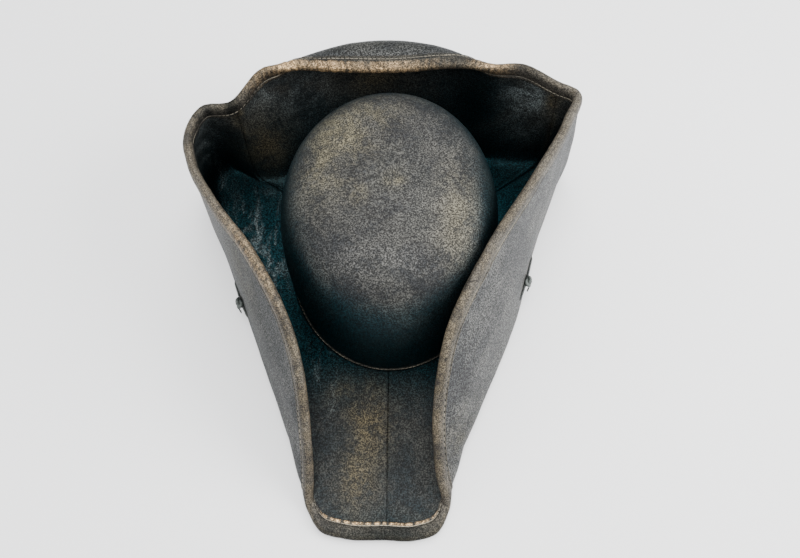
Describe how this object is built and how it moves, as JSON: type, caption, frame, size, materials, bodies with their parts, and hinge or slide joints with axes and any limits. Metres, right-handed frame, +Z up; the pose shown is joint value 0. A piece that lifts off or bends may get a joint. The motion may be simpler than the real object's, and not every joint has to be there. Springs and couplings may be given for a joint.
{
  "type": "tricorn pirate hat",
  "caption": "Tricorn pirate hat: a domed crown and a stitched, bound brim folded up into walls round it, with a knotted thong tie on each side.",
  "frame": {"origin": "centre of the head opening, on the plane that the brim rests on", "axes": "+Z up through the crown, -Y toward the front point, +X toward the right side as seen from the front"},
  "size_m": [0.3342, 0.3895, 0.1378],
  "materials": {
    "crown_suede": "distressed faux suede with a bronze speckle",
    "inner_suede": "distressed faux suede, darker in the folds",
    "outer_suede": "distressed faux suede, grey",
    "binding": "worn faux suede binding, stitched",
    "foam": "dark foam and buckram",
    "lining": "black satin lining",
    "sweatband": "black grosgrain ribbon",
    "thong": "flat suede thong",
    "steel": "plain spring wire"
  },
  "bodies": {
    "root": {"crown_shell": "crown_suede", "crown_stiffener": "foam", "crown_lining": "lining", "sweatband": "sweatband", "brim_under_right": "outer_suede", "brim_core_right": "foam", "brim_top_right": "inner_suede", "brim_under_back": "outer_suede", "brim_core_back": "foam", "brim_top_back": "inner_suede", "brim_under_left": "outer_suede", "brim_core_left": "foam", "brim_top_left": "inner_suede", "edge_binding": "binding", "edge_wire": "steel", "wire_ferrule": "steel", "left_tie_thong": "thong", "left_tie_knot": "thong", "right_tie_thong": "thong", "right_tie_knot": "thong"}
  },
  "joints": []
}
